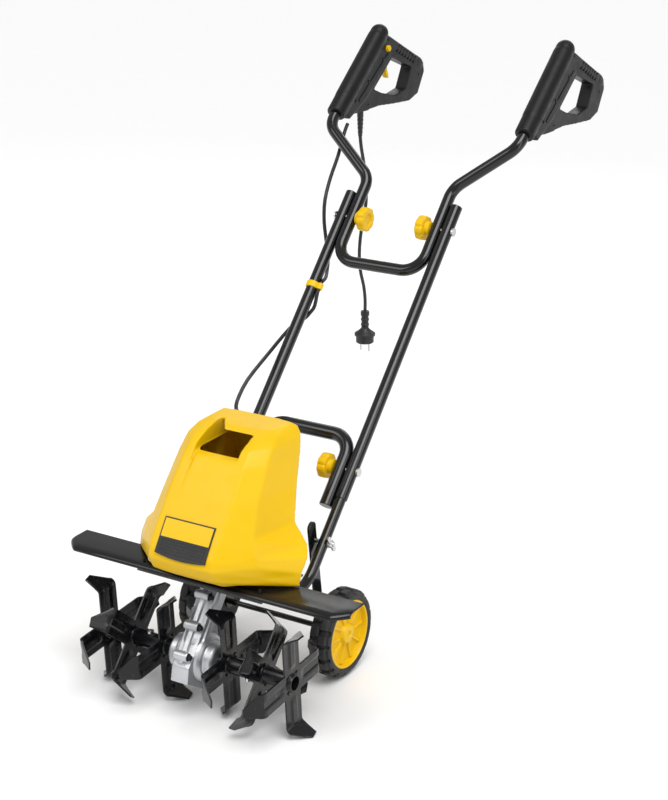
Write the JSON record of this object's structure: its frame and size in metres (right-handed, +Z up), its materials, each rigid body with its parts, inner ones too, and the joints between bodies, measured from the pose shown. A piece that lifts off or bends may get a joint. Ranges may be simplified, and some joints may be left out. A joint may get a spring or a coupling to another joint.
{
  "type": "tiller",
  "caption": "Electric garden tiller with steel tine rotors, a moulded motor hood over a wide fender, transport wheels and a folding tubular handle with two loop grips.",
  "frame": {"origin": "on the ground under the middle of the machine, between the tine tips at the front and the grips at the rear", "axes": "+Z up, -Y forwards towards the tines, +X to the operator's left"},
  "size_m": [0.566, 1.2022, 1.0207],
  "materials": {
    "yellow_plastic": "satin moulded",
    "badge": "printed",
    "fender_plastic": "semi-gloss",
    "tube_paint": "gloss powder coat",
    "zinc": "zinc plated",
    "black_screws": "blackened",
    "cast_aluminium": "as cast",
    "bearing_steel": "ground",
    "motor_black": "satin",
    "copper": "enamelled wire",
    "capacitor": "satin",
    "bronze": "machined",
    "black_rubber": "matte",
    "black_plastic": "fine texture",
    "tine_steel": "semi-gloss",
    "tyre": "matte"
  },
  "bodies": {
    "chassis": {"hood_shell": "yellow_plastic", "hood_rear_cover": "yellow_plastic", "hood_badge": "badge", "hood_screws": "black_screws", "fender": "fender_plastic", "chassis_plate": "tube_paint", "chassis_tube_left": "tube_paint", "chassis_tube_right": "tube_paint", "brace_tube": "tube_paint", "mid_tube_left": "tube_paint", "mid_tube_right": "tube_paint", "handle_bolts": "zinc", "cable_clip": "yellow_plastic", "gear_housing_left": "cast_aluminium", "gear_housing_right": "cast_aluminium", "gear_housing_screws": "black_screws", "shaft_bearings": "bearing_steel", "motor_can": "motor_black", "stator": "copper", "motor_bearings": "bearing_steel", "run_capacitor": "capacitor", "lead_grommet": "black_rubber", "motor_lead_lower": "black_rubber"},
    "motor_rotor": {"rotor": "bearing_steel", "cooling_fan": "black_plastic", "worm": "bearing_steel"},
    "tine_rotor": {"tine_shaft": "bearing_steel", "worm_wheel": "bronze", "tine_tube_left": "tine_steel", "tine_tube_right": "tine_steel", "star_inner_left": "tine_steel", "star_middle_left": "tine_steel", "star_outer_left": "tine_steel", "star_inner_right": "tine_steel", "star_middle_right": "tine_steel", "star_outer_right": "tine_steel", "tine_bolts": "zinc"},
    "wheel_carriage": {"wheel_arms": "tube_paint", "axle": "tube_paint", "axle_clips": "zinc"},
    "left_wheel": {"tyre_left": "tyre", "wheel_hub_left": "yellow_plastic"},
    "right_wheel": {"tyre_right": "tyre", "wheel_hub_right": "yellow_plastic"},
    "left_wing_bolt": {"wing_bolt_left": "zinc"},
    "right_wing_bolt": {"wing_bolt_right": "zinc"},
    "upper_handle": {"upper_tube": "tube_paint", "switch_grip": "black_plastic", "plain_grip": "black_plastic", "switch_block": "black_plastic", "motor_lead_upper": "black_rubber", "lead_relief": "black_rubber", "mains_lead": "black_rubber", "mains_plug": "black_rubber"},
    "trigger_lever": {"trigger": "yellow_plastic"},
    "lock_off_button": {"lock_button": "yellow_plastic"},
    "lower_left_knob": {"knob_lower_left": "yellow_plastic"},
    "lower_right_knob": {"knob_lower_right": "yellow_plastic"},
    "upper_left_knob": {"knob_upper_left": "yellow_plastic"},
    "upper_right_knob": {"knob_upper_right": "yellow_plastic"}
  },
  "joints": [
    {"name": "tine_spin", "type": "hinge", "parent": "chassis", "child": "tine_rotor", "pos_m": [0, -0.50165, 0.0995], "axis": [1, 0, 0], "continuous": true},
    {"name": "motor_spin", "type": "hinge", "parent": "chassis", "child": "motor_rotor", "pos_m": [0, -0.52214, 0.11551], "axis": [0, 0.6157, 0.788], "continuous": true},
    {"name": "carriage_swing", "type": "hinge", "parent": "chassis", "child": "wheel_carriage", "pos_m": [0, -0.28265, 0.24857], "axis": [1, 0, 0], "range_deg": [0, 70]},
    {"name": "left_wheel_spin", "type": "hinge", "parent": "wheel_carriage", "child": "left_wheel", "pos_m": [0.138, -0.27065, 0.079], "axis": [1, 0, 0], "continuous": true},
    {"name": "right_wheel_spin", "type": "hinge", "parent": "wheel_carriage", "child": "right_wheel", "pos_m": [-0.138, -0.27065, 0.079], "axis": [1, 0, 0], "continuous": true},
    {"name": "handle_fold", "type": "hinge", "parent": "chassis", "child": "upper_handle", "pos_m": [0, 0.14644, 0.70391], "axis": [1, 0, 0], "range_deg": [0, 125]},
    {"name": "trigger_pull", "type": "hinge", "parent": "upper_handle", "child": "trigger_lever", "pos_m": [-0.201, 0.44729, 0.95371], "axis": [-1, 0, 0], "range_deg": [0, 10], "stiffness_Nm_per_rad": 0.6, "springref_deg": -5.73},
    {"name": "lock_off_press", "type": "slide", "parent": "upper_handle", "child": "lock_off_button", "axis": [-1, 0, 0], "range_m": [0, 0.004], "stiffness_N_per_m": 300, "springref_m": -0.001},
    {"name": "left_wing_turn", "type": "hinge", "parent": "chassis", "child": "left_wing_bolt", "pos_m": [0.112, -0.28265, 0.24857], "axis": [1, 0, 0], "continuous": true},
    {"name": "right_wing_turn", "type": "hinge", "parent": "chassis", "child": "right_wing_bolt", "pos_m": [-0.112, -0.28265, 0.24857], "axis": [1, 0, 0], "continuous": true},
    {"name": "lower_left_knob_turn", "type": "hinge", "parent": "chassis", "child": "lower_left_knob", "pos_m": [0.07, -0.18893, 0.34803], "axis": [1, 0, 0], "continuous": true},
    {"name": "lower_right_knob_turn", "type": "hinge", "parent": "chassis", "child": "lower_right_knob", "pos_m": [-0.07, -0.18893, 0.34803], "axis": [1, 0, 0], "continuous": true},
    {"name": "upper_left_knob_turn", "type": "hinge", "parent": "chassis", "child": "upper_left_knob", "pos_m": [0.07, 0.14644, 0.70391], "axis": [1, 0, 0], "continuous": true},
    {"name": "upper_right_knob_turn", "type": "hinge", "parent": "chassis", "child": "upper_right_knob", "pos_m": [-0.07, 0.14644, 0.70391], "axis": [1, 0, 0], "continuous": true}
  ],
  "couplings": [
    {"joint": "motor_spin", "follows": "tine_spin", "ratio": 20}
  ]
}
